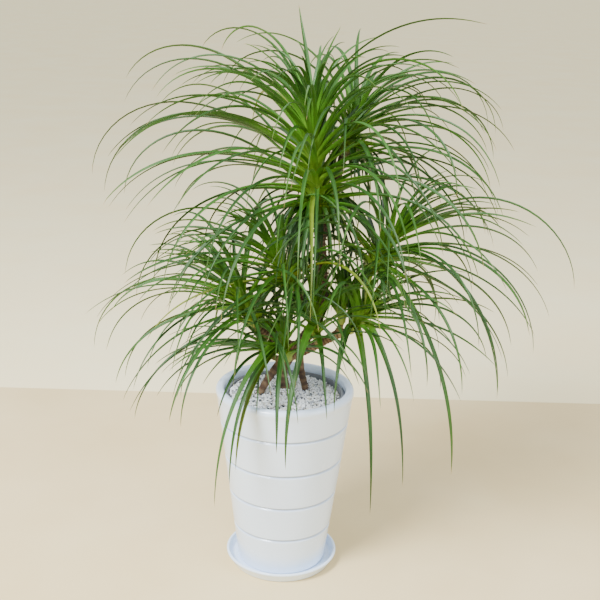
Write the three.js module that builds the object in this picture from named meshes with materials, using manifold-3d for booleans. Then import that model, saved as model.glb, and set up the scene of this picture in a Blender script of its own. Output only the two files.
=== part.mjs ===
// Potted screw pine: a branching stem on stilt roots with ten rosettes of narrow arching leaves,
// in a plastic nursery pot that stands inside a tall glazed cover pot on a saucer.
// Millimetres, +Z up, origin on the floor at the pot's axis. +X is the plant's right, -Y its front.
import * as THREE from 'three';
import { mergeVertices } from 'three/addons/utils/BufferGeometryUtils.js';
import Module from 'manifold-3d';

const wasm = await Module();
wasm.setup();

// ---------- driving dimensions ----------
const GAP = 0.35; // clearance between pieces that touch
const ROUND_SIDES = 36; // facets round the pot and the other turned pieces

const SAUCER_RADIUS = 99;
const SAUCER_BASE_RADIUS = 90;
const SAUCER_HEIGHT = 20.5;
const SAUCER_FLOOR = 7.5;
const SAUCER_WALL = 5;

const POT_BOTTOM = SAUCER_FLOOR + GAP;
const POT_TOP = 336;
const POT_BASE_RADIUS = 77.5;
const POT_RIM_RADIUS = 120;
const POT_RIM_WIDTH = 14;
const POT_WALL = 8;
const POT_FLOOR = 10;
const POT_HOLE_RADIUS = 11;
const GROOVE_HEIGHTS = [78.6, 144, 209.5, 276];
const GROOVE_HALF = 2.6;
const GROOVE_DEPTH = 2;

const NURSERY_BOTTOM = POT_BOTTOM + POT_FLOOR + GAP;
const NURSERY_TOP = 324;
const NURSERY_BASE_RADIUS = 66;
const NURSERY_TOP_RADIUS = 100;
const NURSERY_WALL = 2.2;
const NURSERY_LIP = 2.4;
const NURSERY_HOLES = 5;
const NURSERY_HOLE_RADIUS = 8;
const NURSERY_HOLE_REACH = 38; // from the axis to a hole's centre

const STONE_LAYER = 28; // drainage stones at the bottom of the nursery pot
const NET_THICKNESS = 1.6;
const NET_OPENING = 18;
const NET_PITCH = 26;
const NET_MARGIN = 3; // between the net's edge and the nursery pot's wall
const GRAVEL_DEPTH = 16;
const GRAVEL_TOP = 319;

const LEAF_STEPS = 5; // straight stretches that stand for a leaf's arch
const STRETCH_PARTS = 4; // shorter steps that each stretch is summed over
const FOOT_SHARE = 0.4; // a leaf's width where it leaves the sleeve, as a share of its full width
const ARCH_POWER = 1.5; // bend of a leaf grown by rule: above 1, it bends more towards its tip
const LEAF_CLEARANCE = 1.2; // least room between leaves of different crowns
const LEAF_TRIES = 14; // placings tried for a leaf before its place stays empty
const STEM_SIDES = 8;
const POT_ROOM = 1.5; // least room between a leaf and the pot
const FLOOR_ROOM = 4; // least room between a leaf and the floor

// ---------- solids ----------
// A closed geometry as a manifold solid, with its shared vertices merged.
function solidOf(geometry) {
  const bare = geometry.index ? geometry.toNonIndexed() : geometry.clone();
  bare.deleteAttribute('normal');
  bare.deleteAttribute('uv');
  const merged = mergeVertices(bare, 1e-4);
  return new wasm.Manifold(new wasm.Mesh({
    numProp: 3,
    vertProperties: new Float32Array(merged.attributes.position.array),
    triVerts: new Uint32Array(merged.index.array),
  }));
}

function geometryOf(solid) {
  const mesh = solid.getMesh();
  const geometry = new THREE.BufferGeometry();
  geometry.setAttribute('position', new THREE.BufferAttribute(new Float32Array(mesh.vertProperties), 3));
  geometry.setIndex(new THREE.BufferAttribute(new Uint32Array(mesh.triVerts), 1));
  return geometry;
}

// A solid turned about the pot's axis from (radius, height) points.
function turned(profile, sides = ROUND_SIDES) {
  const points = profile.map(([radius, height]) => new THREE.Vector2(radius, height));
  const geometry = new THREE.LatheGeometry(points, sides);
  geometry.rotateX(Math.PI / 2);
  return solidOf(geometry);
}

// A closed skin over rings of points, each ring with the same count, ending in points or flat caps.
function skinned(rings) {
  const corners = [];
  const faces = [];
  const starts = rings.map((ring) => {
    const start = corners.length;
    corners.push(...ring);
    return start;
  });
  for (let i = 0; i + 1 < rings.length; i += 1) {
    const low = rings[i].length;
    const high = rings[i + 1].length;
    const count = Math.max(low, high);
    for (let j = 0; j < count; j += 1) {
      const a = starts[i] + (low === 1 ? 0 : j);
      const b = starts[i] + (low === 1 ? 0 : (j + 1) % low);
      const c = starts[i + 1] + (high === 1 ? 0 : (j + 1) % high);
      const d = starts[i + 1] + (high === 1 ? 0 : j);
      if (a !== b) faces.push(a, b, c);
      if (c !== d) faces.push(a, c, d);
    }
  }
  const first = rings[0].length;
  const last = rings.length - 1;
  for (let j = 1; j + 1 < first; j += 1) faces.push(starts[0], starts[0] + j + 1, starts[0] + j);
  for (let j = 1; j + 1 < rings[last].length; j += 1) {
    faces.push(starts[last], starts[last] + j, starts[last] + j + 1);
  }
  const geometry = new THREE.BufferGeometry();
  const position = new Float32Array(corners.flatMap((corner) => corner.toArray()));
  geometry.setAttribute('position', new THREE.BufferAttribute(position, 3));
  geometry.setIndex(faces);
  return solidOf(geometry);
}

// ---------- pot, saucer and what the pot holds ----------
function potRadius(height) {
  const share = (height - POT_BOTTOM) / (POT_TOP - POT_BOTTOM);
  return POT_BASE_RADIUS + (POT_RIM_RADIUS - POT_BASE_RADIUS) * share;
}

function saucerSolid() {
  const lip = SAUCER_WALL / 2;
  return turned([
    [0, 0],
    [SAUCER_BASE_RADIUS - 3, 0],
    [SAUCER_BASE_RADIUS, 2.5],
    [SAUCER_RADIUS - 2, SAUCER_HEIGHT - lip * 2],
    [SAUCER_RADIUS, SAUCER_HEIGHT - lip],
    [SAUCER_RADIUS - lip, SAUCER_HEIGHT],
    [SAUCER_RADIUS - SAUCER_WALL, SAUCER_HEIGHT - lip],
    [SAUCER_BASE_RADIUS - 3, SAUCER_FLOOR + 1],
    [SAUCER_BASE_RADIUS - 6, SAUCER_FLOOR],
    [0, SAUCER_FLOOR],
  ]);
}

function potSolid() {
  const outside = [
    [POT_HOLE_RADIUS, POT_BOTTOM],
    [POT_BASE_RADIUS - 5, POT_BOTTOM],
    [POT_BASE_RADIUS - 1, POT_BOTTOM + 3],
  ];
  for (const height of GROOVE_HEIGHTS) {
    outside.push([potRadius(height - GROOVE_HALF), height - GROOVE_HALF]);
    outside.push([potRadius(height) - GROOVE_DEPTH, height]);
    outside.push([potRadius(height + GROOVE_HALF), height + GROOVE_HALF]);
  }
  const rim = [
    [POT_RIM_RADIUS - 1.4, POT_TOP - 9],
    [POT_RIM_RADIUS, POT_TOP - 5],
    [POT_RIM_RADIUS - 2, POT_TOP - 1.4],
    [POT_RIM_RADIUS - 6, POT_TOP],
    [POT_RIM_RADIUS - POT_RIM_WIDTH + 2, POT_TOP - 1.2],
    [POT_RIM_RADIUS - POT_RIM_WIDTH, POT_TOP - 5],
    [POT_RIM_RADIUS - POT_RIM_WIDTH - 1, POT_TOP - 14],
  ];
  const inside = [
    [potRadius(276) - POT_WALL, 276],
    [POT_BASE_RADIUS - POT_WALL, POT_BOTTOM + POT_FLOOR + 3],
    [POT_BASE_RADIUS - POT_WALL - 3, POT_BOTTOM + POT_FLOOR],
    [POT_HOLE_RADIUS, POT_BOTTOM + POT_FLOOR],
    [POT_HOLE_RADIUS, POT_BOTTOM],
  ];
  return turned([...outside, ...rim, ...inside]);
}

// The nursery pot's inner radius at a height above its floor.
function nurseryInner(height) {
  const share = (height - NURSERY_BOTTOM) / (NURSERY_TOP - NURSERY_BOTTOM);
  const outer = NURSERY_BASE_RADIUS + (NURSERY_TOP_RADIUS - NURSERY_BASE_RADIUS) * share;
  return outer - NURSERY_WALL;
}

function nurserySolid() {
  const body = turned([
    [0, NURSERY_BOTTOM],
    [NURSERY_BASE_RADIUS, NURSERY_BOTTOM],
    [NURSERY_TOP_RADIUS - 1, NURSERY_TOP - 12],
    [NURSERY_TOP_RADIUS + NURSERY_LIP, NURSERY_TOP - 10],
    [NURSERY_TOP_RADIUS + NURSERY_LIP, NURSERY_TOP - 1],
    [NURSERY_TOP_RADIUS, NURSERY_TOP],
    [NURSERY_TOP_RADIUS - NURSERY_WALL, NURSERY_TOP],
    [NURSERY_BASE_RADIUS - NURSERY_WALL, NURSERY_BOTTOM + NURSERY_WALL],
    [0, NURSERY_BOTTOM + NURSERY_WALL],
  ]);
  let holed = body;
  for (let k = 0; k < NURSERY_HOLES; k += 1) {
    const turn = (k * Math.PI * 2) / NURSERY_HOLES;
    const bore = new THREE.CylinderGeometry(NURSERY_HOLE_RADIUS, NURSERY_HOLE_RADIUS, 12, 8);
    bore.rotateX(Math.PI / 2);
    bore.translate(
      Math.cos(turn) * NURSERY_HOLE_REACH, Math.sin(turn) * NURSERY_HOLE_REACH, NURSERY_BOTTOM,
    );
    holed = holed.subtract(solidOf(bore));
  }
  return holed;
}

// A plug that fills the nursery pot between two heights.
function fill(low, high) {
  return turned([
    [0, low],
    [nurseryInner(low) - GAP, low],
    [nurseryInner(high) - GAP, high],
    [0, high],
  ]);
}

const NET_BOTTOM = NURSERY_BOTTOM + NURSERY_WALL + GAP;
const STONES_BOTTOM = NET_BOTTOM + NET_THICKNESS + GAP;
const SOIL_BOTTOM = STONES_BOTTOM + STONE_LAYER + GAP;
const GRAVEL_BOTTOM = GRAVEL_TOP - GRAVEL_DEPTH;

// The net is a disc with a grid of square openings.
function netSolid() {
  let net = turned([
    [0, NET_BOTTOM],
    [nurseryInner(NET_BOTTOM) - NET_MARGIN, NET_BOTTOM],
    [nurseryInner(NET_BOTTOM) - NET_MARGIN, NET_BOTTOM + NET_THICKNESS],
    [0, NET_BOTTOM + NET_THICKNESS],
  ], 24);
  for (let i = -1; i <= 1; i += 1) {
    for (let j = -1; j <= 1; j += 1) {
      const opening = new THREE.BoxGeometry(NET_OPENING, NET_OPENING, 10);
      opening.translate(i * NET_PITCH, j * NET_PITCH, NET_BOTTOM);
      net = net.subtract(solidOf(opening));
    }
  }
  return net;
}

// ---------- stem and stilt roots ----------
// Each stretch is a list of [x, y, z, radius] that the wood follows from its foot to its end.
const STILT_ROOTS = {
  left_root: [[-56, -9, 297, 6.5], [-43, -2, 322, 6.5], [-14, 15, 366, 7], [14, 15, 392, 7]],
  centre_root: [[3, 31, 292, 9], [-1, 26, 325, 8], [-3, 19, 358, 6.5], [16, 14, 394, 8]],
  right_root: [[40, 31, 296, 6], [33, 24, 330, 6], [26, 18, 362, 6.5], [22, 14, 394, 8]],
};

// Wood along a smooth line through its stations, grown all round by extra.
function woodSolid(stations, extra = 0) {
  const line = new THREE.CatmullRomCurve3(stations.map(([x, y, z]) => new THREE.Vector3(x, y, z)));
  const steps = stations.length - 1;
  const frames = line.computeFrenetFrames(steps, false);
  const rings = [];
  for (let i = 0; i <= steps; i += 1) {
    const radius = stations[i][3] + extra;
    const centre = line.getPoint(i / steps);
    if (i === 0) centre.addScaledVector(line.getTangent(0), -extra);
    if (i === steps) centre.addScaledVector(line.getTangent(1), extra);
    const ring = [];
    for (let j = 0; j < STEM_SIDES; j += 1) {
      const turn = (j * Math.PI * 2) / STEM_SIDES;
      ring.push(centre.clone()
        .addScaledVector(frames.normals[i], Math.cos(turn) * radius)
        .addScaledVector(frames.binormals[i], Math.sin(turn) * radius));
    }
    rings.push(ring);
  }
  return skinned(rings);
}

// ---------- leaf crowns ----------
// wood: its branch, which ends at its lowest leaf. lean: the way its leafy stem points.
// clad: the length of stem that leaves cover. leaves: how many it grows by rule.
// length: shortest and longest leaf. width: a leaf's width near its foot.
// open: how far the oldest leaves stand off the stem, in degrees. hang: where their tips point.
// own: leaves of marked shape as [place up the stem 0 to 1, heading, launch, tip, length, bend] and for
// some a breadth, with heading in degrees from +X towards +Y, and launch and tip in degrees above the
// horizon.
const CROWNS = [
  {
    name: 'leaf_crown_top',
    wood: [
      [18, 14, 386, 10], [24, 13, 406, 11.5], [46, 12, 443, 10], [54, 10, 482, 10],
      [58, 8, 520, 10.5], [56, 5, 560, 9.5], [51, 2, 605, 9], [47, 0, 650, 9],
    ],
    lean: [-0.1, -0.02, 1], clad: 150,
    leaves: 72, length: [240, 380], width: 10, open: 80, hang: -78, spin: 20,
    own: [
      [0.9, -2, 84, -14, 352, 0.9], [1, 20, 83, 60, 150, 1.5], [0.9, 136, 69, -64, 310, 1.9],
      [0.7, 150, 78, -54, 330, 1.8], [0.7, 162, 50, -60, 404, 2], [0.65, 177, 55, -69, 386, 1.8],
      [0.85, 170, 61, -61, 334, 1.4], [0.5, 192, 67, -57, 336, 1.7], [0.15, 145, 50, -50, 410, 2],
      [0.3, 175, 44, -88, 470, 1.8], [0.5, 182, 37, -87, 424, 1.6], [0.1, 186, 47, -88, 396, 1.8],
      [0.7, -20, 82, -74, 351, 1.3], [0.5, 24, 51, -88, 425, 2], [0.3, 12, 62, -88, 422, 1.9],
      [0.95, 115, 80, 62, 190, 1.3], [0.8, -95, 66, -60, 170, 1.6], [0.6, -110, 58, -80, 200, 1.3],
      [0.4, -125, 50, -84, 230, 1.2], [0.3, -80, 44, -86, 250, 1.1],
    ],
  },
  {
    name: 'leaf_crown_back',
    wood: [[53, 4, 590, 8], [64, 28, 640, 7.5], [80, 50, 700, 7.5], [90, 60, 738, 7.5]],
    lean: [0.3, 0.3, 0.9], clad: 70,
    leaves: 24, length: [210, 320], width: 10, open: 82, hang: -78, spin: 75,
    own: [
      [0.3, 8, 41, -78, 317, 2], [0.35, 12, 40, -87, 323, 1.5], [0.15, -74, 41, -80, 290, 1.3],
      [0.05, -84, 33, -76, 300, 1.2],
    ],
  },
  {
    name: 'leaf_crown_right',
    wood: [[57, 9, 482, 8], [84, 10, 500, 7.5], [110, 10, 514, 7.5], [140, 10, 543, 7]],
    lean: [0.5, 0.05, 0.85], clad: 84,
    leaves: 36, length: [200, 330], width: 9, open: 78, hang: -82, spin: 50,
    own: [
      [0.41, -25, 60, -86, 430, 1.3], [0.25, -32, 40, -88, 371, 1.1], [0.12, -50, 50, -88, 390, 0.8],
      [0.41, -52, 30, -88, 380, 0.9], [0.08, -44, -4, -88, 390, 0.5, 1.2],
    ],
  },
  {
    name: 'leaf_crown_middle_left',
    wood: [[52, 9, 470, 8], [36, -6, 492, 7], [12, -24, 522, 7]],
    lean: [-0.5, -0.15, 0.85], clad: 74,
    leaves: 30, length: [190, 300], width: 9, open: 78, hang: -76, spin: 100,
    own: [
      [0.41, 195, 68, -86, 364, 1.3], [0.25, 176, 66, -87, 350, 1],
    ],
  },
  {
    name: 'leaf_crown_low_left',
    wood: [[20, 12, 402, 9], [-4, 8, 411, 7.5], [-30, 0, 427, 7.5], [-54, -9, 452, 7]],
    lean: [-0.45, -0.1, 0.88], clad: 80,
    leaves: 36, length: [190, 300], width: 9, open: 82, hang: -80, spin: 10,
    own: [
      [0.57, 160, 20, -88, 365, 1.4], [0.12, 176, 40, -79, 311, 1.1], [0.08, 222, 45, -77, 262, 1.2],
    ],
  },
  {
    name: 'leaf_crown_low_right',
    wood: [[22, 12, 392, 9], [55, 5, 411, 7.5], [83, 0, 430, 7.5], [108, -4, 441, 6.5]],
    lean: [0.5, -0.12, 0.8], clad: 60,
    leaves: 22, length: [180, 270], width: 8.5, open: 70, hang: -82, spin: 35,
    own: [
      [0.21, -80, 0, -88, 335, 0.45, 1.3], [0.5, -62, 6, -88, 310, 0.45, 1.3], [0.36, -5, 34, -80, 270, 1.3],
    ],
  },
  {
    name: 'leaf_crown_side',
    wood: [[84, 0, 431, 6], [91, 0, 444, 5], [93, 0, 455, 5]],
    lean: [0.02, 0.1, 1], clad: 46,
    leaves: 16, length: [150, 260], width: 8, open: 48, hang: -50, spin: 65,
    own: [],
  },
  {
    name: 'leaf_crown_fork',
    wood: [[58, 4, 412, 6], [53, -8, 420, 5.5], [51, -11, 430, 5.5]],
    lean: [-0.1, -0.06, 1], clad: 66,
    leaves: 30, length: [170, 290], width: 9, open: 52, hang: -44, spin: 0,
    own: [
      [0.3, -104, 42, -88, 288, 0.45, 1.5], [0.12, -80, 4, -64, 170, 0.5],
    ],
  },
  {
    name: 'leaf_crown_front',
    wood: [[20, 12, 392, 7], [10, -2, 388, 6], [3, -15, 390, 5.5]],
    lean: [-0.2, -0.2, 0.92], clad: 52,
    leaves: 18, length: [150, 240], width: 9, open: 62, hang: -48, spin: 90,
    own: [
      [0.58, -122, 38, -88, 332, 0.45, 1.3], [0.5, -118, 41, -86, 284, 0.45, 1.3],
      [0.32, -117, 40, -86, 254, 0.5, 1.2], [0.39, -88, 20, -88, 226, 0.8, 1.3],
    ],
  },
  {
    name: 'leaf_crown_root',
    wood: [[8, 15, 384, 6], [-14, 18, 378, 5.5], [-31, 20, 386, 5]],
    lean: [-0.45, 0.1, 0.9], clad: 28,
    leaves: 13, length: [120, 220], width: 7.5, open: 74, hang: -66, spin: 15,
    own: [],
  },
];

for (const crown of CROWNS) {
  const [x, y, z, radius] = crown.wood[crown.wood.length - 1];
  crown.base = new THREE.Vector3(x, y, z);
  crown.axis = new THREE.Vector3(...crown.lean).normalize();
  crown.stem = radius;
}

const RAD = Math.PI / 180;

// A repeatable stream of numbers from 0 to 1 for one leaf.
function stream(crown, leaf, attempt) {
  let state = crown * 7919 + leaf * 104729 + attempt * 1299709 + 17;
  const next = () => {
    state = (state * 1664525 + 1013904223) % 4294967296;
    return state / 4294967296;
  };
  next();
  next();
  return next;
}

function mix(low, high, share) {
  return low + (high - low) * share;
}

// Two directions square to a crown's stem.
function across(axis) {
  const side = new THREE.Vector3(0, 0, 1).cross(axis);
  if (side.length() < 0.05) side.set(1, 0, 0);
  side.normalize();
  return [side, axis.clone().cross(side).normalize()];
}

// One leaf of a crown: where it starts, its heading and arch in radians, its length and width.
function leafShape(crown, crownIndex, leafIndex, attempt) {
  const random = stream(crownIndex, leafIndex, attempt);
  const { axis } = crown;
  const [side, front] = across(axis);
  const own = crown.own[leafIndex];
  const wander = 6 + attempt * 5;
  let up;
  let heading;
  let launch;
  let tip;
  let length;
  let bend = ARCH_POWER;
  let breadth = 1;
  if (own) {
    [up, heading, launch, tip, length, bend, breadth = 1] = own;
    heading += (random() - 0.5) * attempt * 5;
    launch += (random() - 0.5) * attempt * 3;
    tip += (random() - 0.5) * attempt * 3;
  } else {
    const place = leafIndex - crown.own.length;
    up = (place + 0.5) / crown.leaves;
    const turn = crown.spin + (place % 3) * 120 + place * 11 + (random() - 0.5) * 2 * wander;
    const stand = mix(crown.open, 10, up ** 1.1) + (random() - 0.5) * (10 + attempt * 3);
    const radial = side.clone().multiplyScalar(Math.cos(turn * RAD))
      .addScaledVector(front, Math.sin(turn * RAD));
    const start = axis.clone().multiplyScalar(Math.cos(stand * RAD))
      .addScaledVector(radial, Math.sin(stand * RAD));
    heading = Math.atan2(start.y, start.x) / RAD;
    launch = Math.asin(start.z) / RAD;
    tip = mix(crown.hang, 5, up ** 2) + (random() - 0.5) * 36;
    tip = Math.min(tip, launch - 12);
    const grown = Math.sin(Math.PI * mix(0.22, 0.9, up));
    length = mix(crown.length[0], crown.length[1], grown * 0.75 + random() * 0.25);
    if (up > 0.6) length *= mix(1, 0.5, (up - 0.6) / 0.4);
  }
  const drift = (random() - 0.5) * (own ? 8 : 30);
  const outward = new THREE.Vector3(Math.cos(heading * RAD), Math.sin(heading * RAD), 0);
  outward.addScaledVector(axis, -outward.dot(axis)).normalize();
  const foot = crown.base.clone()
    .addScaledVector(axis, mix(4, crown.clad, up))
    .addScaledVector(outward, crown.stem * mix(0.9, 0.35, up));
  return {
    foot,
    heading: heading * RAD,
    drift: drift * RAD,
    launch: launch * RAD,
    tip: tip * RAD,
    length,
    bend,
    width: crown.width * breadth * mix(0.85, 1.1, random()),
  };
}

// A leaf's middle line, as steps + 1 stations with the width, side and upper direction at each.
function leafLine(leaf, steps) {
  const stations = [];
  const point = leaf.foot.clone();
  for (let i = 0; i <= steps; i += 1) {
    const share = i / steps;
    const heading = leaf.heading + leaf.drift * share;
    const rise = leaf.launch + (leaf.tip - leaf.launch) * share ** leaf.bend;
    const side = new THREE.Vector3(-Math.sin(heading), Math.cos(heading), 0);
    const along = new THREE.Vector3(
      Math.cos(rise) * Math.cos(heading), Math.cos(rise) * Math.sin(heading), Math.sin(rise),
    );
    stations.push({
      point: point.clone(),
      side,
      over: along.clone().cross(side),
      half: leafHalfWidth(leaf, share),
    });
    for (let k = 0; k < STRETCH_PARTS && i < steps; k += 1) {
      const middle = (i + (k + 0.5) / STRETCH_PARTS) / steps;
      const turn = leaf.heading + leaf.drift * middle;
      const pitch = leaf.launch + (leaf.tip - leaf.launch) * middle ** leaf.bend;
      const reach = leaf.length / steps / STRETCH_PARTS;
      point.x += reach * Math.cos(pitch) * Math.cos(turn);
      point.y += reach * Math.cos(pitch) * Math.sin(turn);
      point.z += reach * Math.sin(pitch);
    }
  }
  return stations;
}

// Half a leaf's width: widest at the sheath, even along the middle, drawn out to a thread at the tip.
function leafHalfWidth(leaf, share) {
  const sheath = 0.2 * Math.max(0, 1 - share / 0.12);
  return leaf.width * 0.5 * ((1 - share ** 2.8) * 0.94 + 0.06 + sheath);
}

function leafSolid(leaf) {
  const stations = leafLine(leaf, LEAF_STEPS);
  const rings = stations.map(({ point, side, over, half }, i) => {
    if (i === stations.length - 1) return [point];
    const reach = i === 0 ? half * FOOT_SHARE : half;
    const keel = 0.3 * reach + 0.3;
    return [
      point.clone().addScaledVector(side, -reach).addScaledVector(over, keel),
      point.clone().addScaledVector(over, -keel),
      point.clone().addScaledVector(side, reach).addScaledVector(over, keel),
    ];
  });
  return skinned(rings);
}

// The least distance between two straight stretches a to b and c to d.
function stretchGap(a, b, c, d) {
  const u = b.clone().sub(a);
  const v = d.clone().sub(c);
  const w = a.clone().sub(c);
  const uu = u.dot(u);
  const uv = u.dot(v);
  const vv = v.dot(v);
  const uw = u.dot(w);
  const vw = v.dot(w);
  const slant = uu * vv - uv * uv;
  let s = slant > 1e-9 ? (uv * vw - vv * uw) / slant : 0;
  s = Math.min(1, Math.max(0, s));
  let t = (uv * s + vw) / vv;
  t = Math.min(1, Math.max(0, t));
  s = Math.min(1, Math.max(0, (uv * t - uw) / uu));
  return w.addScaledVector(u, s).addScaledVector(v, -t).length();
}

// What a leaf must stay clear of: straight stretches with a thickness and an owner.
const obstacles = [];
function addStretch(from, to, half, owner) {
  const middle = from.clone().add(to).multiplyScalar(0.5);
  obstacles.push({ from, to, half, owner, middle, reach: from.distanceTo(to) / 2 + half });
}

for (const stations of [...Object.values(STILT_ROOTS), ...CROWNS.map((crown) => crown.wood)]) {
  for (let i = 0; i + 1 < stations.length; i += 1) {
    const from = new THREE.Vector3(...stations[i].slice(0, 3));
    const to = new THREE.Vector3(...stations[i + 1].slice(0, 3));
    addStretch(from, to, Math.max(stations[i][3], stations[i + 1][3]), 'wood');
  }
}
for (const crown of CROWNS) {
  const bud = crown.base.clone().addScaledVector(crown.axis, crown.clad + 14);
  addStretch(crown.base, bud, crown.stem + 6, crown.name);
}

// True where a point with some room round it would touch the pot, its gravel or the floor.
function touchesPot(point, room) {
  const radius = Math.hypot(point.x, point.y);
  if (point.z < room + FLOOR_ROOM) return true;
  if (point.z > POT_TOP + room) return false;
  if (radius < POT_RIM_RADIUS - POT_RIM_WIDTH - room) return point.z < GRAVEL_TOP + room + 2;
  return radius < potRadius(point.z) + room + POT_ROOM;
}

// The crown's wood runs under its own leaves, so the stretches near the crown's foot don't count.
function clearLeaf(leaf, crown) {
  const stations = leafLine(leaf, LEAF_STEPS);
  for (let i = 0; i + 1 < stations.length; i += 1) {
    const from = stations[i].point;
    const to = stations[i + 1].point;
    const half = stations[i].half;
    for (const share of [0.25, 0.5, 0.75, 1]) {
      if (touchesPot(from.clone().lerp(to, share), half)) return false;
    }
    const middle = from.clone().add(to).multiplyScalar(0.5);
    const reach = from.distanceTo(to) / 2 + half + LEAF_CLEARANCE;
    for (const other of obstacles) {
      if (other.owner === crown.name) continue;
      if (middle.distanceTo(other.middle) > reach + other.reach) continue;
      if (i === 0 && other.to.distanceTo(crown.base) < 1) continue;
      if (stretchGap(from, to, other.from, other.to) < half + other.half + LEAF_CLEARANCE) return false;
    }
  }
  return true;
}

// A crown's sleeve of leaf bases, closed at the top in a bud, from which the leaves spread.
function sleeveSolid(crown) {
  const profile = [
    [0, 0],
    [crown.stem + 2.5, 0],
    [crown.stem + 4.5, crown.clad * 0.3],
    [crown.stem + 3.5, crown.clad * 0.75],
    [crown.stem * 0.55, crown.clad + 6],
    [0, crown.clad + 16],
  ];
  const points = profile.map(([radius, height]) => new THREE.Vector2(radius, height));
  const geometry = new THREE.LatheGeometry(points, STEM_SIDES);
  geometry.rotateX(Math.PI / 2);
  const up = new THREE.Vector3(0, 0, 1);
  geometry.applyQuaternion(new THREE.Quaternion().setFromUnitVectors(up, crown.axis));
  geometry.translate(...crown.base.toArray());
  return solidOf(geometry);
}

// A crown's whole branch, with the stretch that its leaves hide.
function branchStations(crown) {
  const hidden = [[0.4, 0.95], [0.8, 0.7]].map(([height, share]) => {
    const point = crown.base.clone().addScaledVector(crown.axis, crown.clad * height);
    return [point.x, point.y, point.z, crown.stem * share];
  });
  return [...crown.wood, ...hidden];
}

const woodStretches = [...CROWNS.map(branchStations), ...Object.values(STILT_ROOTS)];
const wood = wasm.Manifold.union(woodStretches.map((stretch) => woodSolid(stretch)));
const woodRoom = wasm.Manifold.union(woodStretches.map((stretch) => woodSolid(stretch, GAP)));

// Leaves of marked shape are placed first, so that every crown keeps its own.
const grown = CROWNS.map(() => []);
function growLeaves(marked) {
  CROWNS.forEach((crown, crownIndex) => {
    const marks = crown.own.length;
    const first = marked ? 0 : marks;
    const last = marked ? marks : marks + crown.leaves;
    for (let leafIndex = first; leafIndex < last; leafIndex += 1) {
      for (let attempt = 0; attempt < LEAF_TRIES; attempt += 1) {
        const leaf = leafShape(crown, crownIndex, leafIndex, attempt);
        if (clearLeaf(leaf, crown)) {
          grown[crownIndex].push(leaf);
          const stations = leafLine(leaf, LEAF_STEPS);
          for (let i = 0; i + 1 < stations.length; i += 1) {
            addStretch(stations[i].point, stations[i + 1].point, stations[i].half, crown.name);
          }
          break;
        }
      }
    }
  });
}
growLeaves(true);
growLeaves(false);

function crownSolid(crown, crownIndex) {
  const parts = [sleeveSolid(crown), ...grown[crownIndex].map(leafSolid)];
  return wasm.Manifold.union(parts).subtract(woodRoom);
}

// ---------- the object ----------
const glaze = { color: 0xe6eaf2, roughness: 0.16, metalness: 0 };
const leafGreen = { color: 0x3c7828, roughness: 0.38, metalness: 0, side: THREE.DoubleSide };

const plant = new THREE.Group();
plant.name = 'potted_screw_pine';

function addPiece(name, solid, look) {
  const mesh = new THREE.Mesh(geometryOf(solid), new THREE.MeshStandardMaterial(look));
  mesh.name = name;
  plant.add(mesh);
}

addPiece('saucer', saucerSolid(), glaze);
addPiece('cover_pot', potSolid(), glaze);
addPiece('nursery_pot', nurserySolid(), { color: 0x5a5e66, roughness: 0.55, metalness: 0 });
addPiece('drainage_net', netSolid(), { color: 0x2b2d30, roughness: 0.6, metalness: 0 });
addPiece('drainage_stones', fill(STONES_BOTTOM, STONES_BOTTOM + STONE_LAYER), {
  color: 0x8d8578, roughness: 0.95, metalness: 0,
});
addPiece('potting_soil', fill(SOIL_BOTTOM, GRAVEL_BOTTOM - GAP).subtract(woodRoom), {
  color: 0x3a2a1e, roughness: 0.98, metalness: 0,
});
addPiece('gravel', fill(GRAVEL_BOTTOM, GRAVEL_TOP).subtract(woodRoom), {
  color: 0xd9dadd, roughness: 0.85, metalness: 0,
});
addPiece('stem_and_roots', wood, { color: 0x6b4a2c, roughness: 0.85, metalness: 0 });
CROWNS.forEach((crown, crownIndex) => {
  addPiece(crown.name, crownSolid(crown, crownIndex), leafGreen);
});

export default plant;
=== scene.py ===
"""Potted screw pine: glazed pot and saucer, gravel, ringed wood on stilt roots, and ten crowns of
narrow arching leaves. Metres, +Z up, origin on the floor at the pot's axis, -Y towards the front.
Plant data is in millimetres, as in the CAD source, and MM turns it into metres."""
import math

import bmesh
import bpy
import numpy as np
from mathutils import Matrix, Vector, noise
from mathutils.kdtree import KDTree


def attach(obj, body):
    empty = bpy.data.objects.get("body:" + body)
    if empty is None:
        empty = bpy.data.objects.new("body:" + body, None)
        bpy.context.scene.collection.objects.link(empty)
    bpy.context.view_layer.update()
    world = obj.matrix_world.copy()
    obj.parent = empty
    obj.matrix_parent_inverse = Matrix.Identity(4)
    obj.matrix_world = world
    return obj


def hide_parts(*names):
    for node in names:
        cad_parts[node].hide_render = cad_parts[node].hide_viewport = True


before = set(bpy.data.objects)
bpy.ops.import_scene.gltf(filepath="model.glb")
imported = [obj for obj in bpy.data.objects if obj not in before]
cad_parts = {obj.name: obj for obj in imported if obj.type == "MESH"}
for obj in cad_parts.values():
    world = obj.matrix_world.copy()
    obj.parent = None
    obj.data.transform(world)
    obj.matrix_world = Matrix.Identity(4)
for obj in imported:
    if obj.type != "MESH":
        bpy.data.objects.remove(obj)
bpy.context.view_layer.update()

MM = 0.001
RAD = math.pi / 180

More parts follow.
